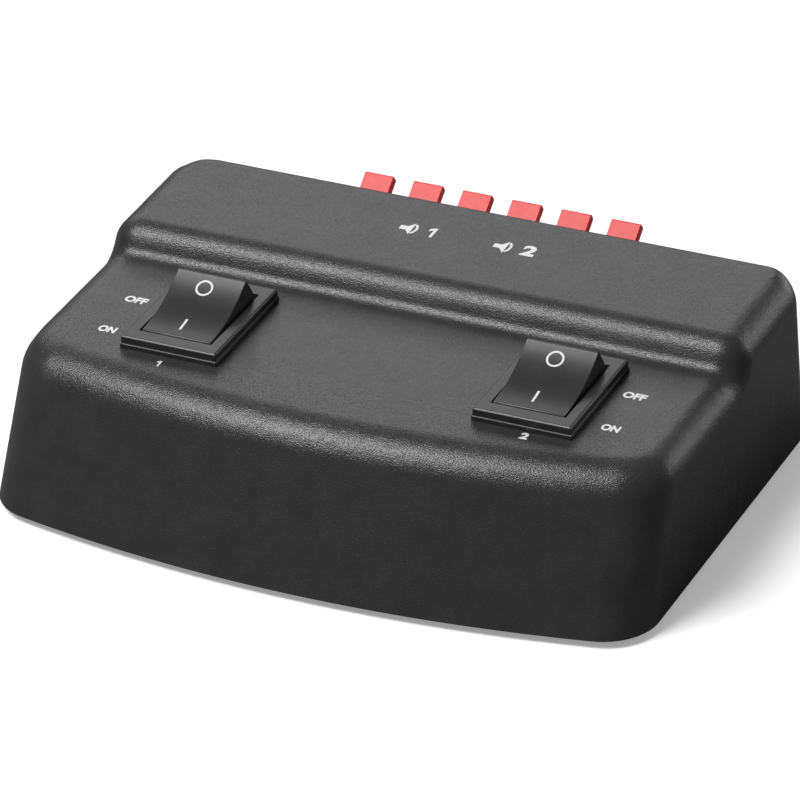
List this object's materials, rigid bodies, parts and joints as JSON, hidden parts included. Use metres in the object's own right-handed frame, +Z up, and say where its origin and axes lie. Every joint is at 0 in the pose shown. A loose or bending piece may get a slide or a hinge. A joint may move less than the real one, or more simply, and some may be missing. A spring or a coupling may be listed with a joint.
{
  "type": "speaker selector switch",
  "caption": "Two-way speaker selector box: stepped black case, two rocker switches on the deck and rows of push-lever wire terminals at the rear.",
  "frame": {"origin": "on the table under the middle of the object's box", "axes": "+X to the right along the deck step, +Y to the terminals at the rear, +Z up"},
  "size_m": [0.1024, 0.0775, 0.029],
  "materials": {
    "case_black": "fine moulded grain, black ABS",
    "switch_black": "smooth satin black nylon",
    "lever_red": "bright red moulded plastic",
    "lever_black": "black moulded plastic",
    "terminal_black": "black moulded plastic",
    "rubber_black": "soft black rubber",
    "steel_screw": "zinc-plated steel",
    "contact_brass": "stamped brass",
    "board_green": "green circuit board",
    "print_white": "white pad-printed ink",
    "wire_red": "red wire insulation"
  },
  "bodies": {
    "case": {"upper_shell": "case_black", "base_plate": "case_black", "base_screws": "steel_screw", "rubber_feet": "rubber_black", "circuit_board": "board_green", "left_switch_body": "switch_black", "left_blades": "contact_brass", "left_switch_wires": "wire_red", "right_switch_body": "switch_black", "right_blades": "contact_brass", "right_switch_wires": "wire_red", "speaker_1_terminal_housing": "terminal_black", "speaker_1_clamp_contacts": "contact_brass", "amplifier_terminal_housing": "terminal_black", "amplifier_clamp_contacts": "contact_brass", "speaker_2_terminal_housing": "terminal_black", "speaker_2_clamp_contacts": "contact_brass"},
    "left_rocker": {"left_rocker": "switch_black", "left_plungers": "contact_brass", "left_plunger_springs": "steel_screw"},
    "left_contacts": {"left_contact_bars": "contact_brass"},
    "right_rocker": {"right_rocker": "switch_black", "right_plungers": "contact_brass", "right_plunger_springs": "steel_screw"},
    "right_contacts": {"right_contact_bars": "contact_brass"},
    "red_lever_1": {"red_lever_1": "lever_red"},
    "red_lever_2": {"red_lever_2": "lever_red"},
    "red_lever_3": {"red_lever_3": "lever_red"},
    "red_lever_4": {"red_lever_4": "lever_red"},
    "red_lever_5": {"red_lever_5": "lever_red"},
    "red_lever_6": {"red_lever_6": "lever_red"},
    "black_lever_1": {"black_lever_1": "lever_black"},
    "black_lever_2": {"black_lever_2": "lever_black"},
    "black_lever_3": {"black_lever_3": "lever_black"},
    "black_lever_4": {"black_lever_4": "lever_black"},
    "black_lever_5": {"black_lever_5": "lever_black"},
    "black_lever_6": {"black_lever_6": "lever_black"}
  },
  "joints": [
    {"name": "left_rocker_tilt", "type": "hinge", "parent": "case", "child": "left_rocker", "pos_m": [-0.0275, -0.00825, 0.0221], "axis": [-1, 0, 0], "range_deg": [0, 35]},
    {"name": "left_contacts_tilt", "type": "hinge", "parent": "case", "child": "left_contacts", "pos_m": [-0.0275, -0.00825, 0.0152], "axis": [1, 0, 0], "range_deg": [0, 16]},
    {"name": "right_rocker_tilt", "type": "hinge", "parent": "case", "child": "right_rocker", "pos_m": [0.0275, -0.00825, 0.0221], "axis": [-1, 0, 0], "range_deg": [0, 35]},
    {"name": "right_contacts_tilt", "type": "hinge", "parent": "case", "child": "right_contacts", "pos_m": [0.0275, -0.00825, 0.0152], "axis": [1, 0, 0], "range_deg": [0, 16]},
    {"name": "red_lever_1_press", "type": "hinge", "parent": "case", "child": "red_lever_1", "pos_m": [-0.01992, 0.03186, 0.02099], "axis": [1, 0, 0], "range_deg": [0, 20], "stiffness_Nm_per_rad": 0.04, "springref_deg": -17.19},
    {"name": "red_lever_2_press", "type": "hinge", "parent": "case", "child": "red_lever_2", "pos_m": [-0.01196, 0.03186, 0.02099], "axis": [1, 0, 0], "range_deg": [0, 20], "stiffness_Nm_per_rad": 0.04, "springref_deg": -17.19},
    {"name": "red_lever_3_press", "type": "hinge", "parent": "case", "child": "red_lever_3", "pos_m": [-0.00398, 0.03186, 0.02099], "axis": [1, 0, 0], "range_deg": [0, 20], "stiffness_Nm_per_rad": 0.04, "springref_deg": -17.19},
    {"name": "red_lever_4_press", "type": "hinge", "parent": "case", "child": "red_lever_4", "pos_m": [0.00398, 0.03186, 0.02099], "axis": [1, 0, 0], "range_deg": [0, 20], "stiffness_Nm_per_rad": 0.04, "springref_deg": -17.19},
    {"name": "red_lever_5_press", "type": "hinge", "parent": "case", "child": "red_lever_5", "pos_m": [0.01196, 0.03186, 0.02099], "axis": [1, 0, 0], "range_deg": [0, 20], "stiffness_Nm_per_rad": 0.04, "springref_deg": -17.19},
    {"name": "red_lever_6_press", "type": "hinge", "parent": "case", "child": "red_lever_6", "pos_m": [0.01992, 0.03186, 0.02099], "axis": [1, 0, 0], "range_deg": [0, 20], "stiffness_Nm_per_rad": 0.04, "springref_deg": -17.19},
    {"name": "black_lever_1_press", "type": "hinge", "parent": "case", "child": "black_lever_1", "pos_m": [-0.01992, 0.03186, 0.01059], "axis": [1, 0, 0], "range_deg": [0, 20], "stiffness_Nm_per_rad": 0.04, "springref_deg": -17.19},
    {"name": "black_lever_2_press", "type": "hinge", "parent": "case", "child": "black_lever_2", "pos_m": [-0.01196, 0.03186, 0.01059], "axis": [1, 0, 0], "range_deg": [0, 20], "stiffness_Nm_per_rad": 0.04, "springref_deg": -17.19},
    {"name": "black_lever_3_press", "type": "hinge", "parent": "case", "child": "black_lever_3", "pos_m": [-0.00398, 0.03186, 0.01059], "axis": [1, 0, 0], "range_deg": [0, 20], "stiffness_Nm_per_rad": 0.04, "springref_deg": -17.19},
    {"name": "black_lever_4_press", "type": "hinge", "parent": "case", "child": "black_lever_4", "pos_m": [0.00398, 0.03186, 0.01059], "axis": [1, 0, 0], "range_deg": [0, 20], "stiffness_Nm_per_rad": 0.04, "springref_deg": -17.19},
    {"name": "black_lever_5_press", "type": "hinge", "parent": "case", "child": "black_lever_5", "pos_m": [0.01196, 0.03186, 0.01059], "axis": [1, 0, 0], "range_deg": [0, 20], "stiffness_Nm_per_rad": 0.04, "springref_deg": -17.19},
    {"name": "black_lever_6_press", "type": "hinge", "parent": "case", "child": "black_lever_6", "pos_m": [0.01992, 0.03186, 0.01059], "axis": [1, 0, 0], "range_deg": [0, 20], "stiffness_Nm_per_rad": 0.04, "springref_deg": -17.19}
  ],
  "couplings": [
    {"joint": "left_contacts_tilt", "follows": "left_rocker_tilt", "ratio": 0.45714},
    {"joint": "right_contacts_tilt", "follows": "right_rocker_tilt", "ratio": 0.45714}
  ]
}
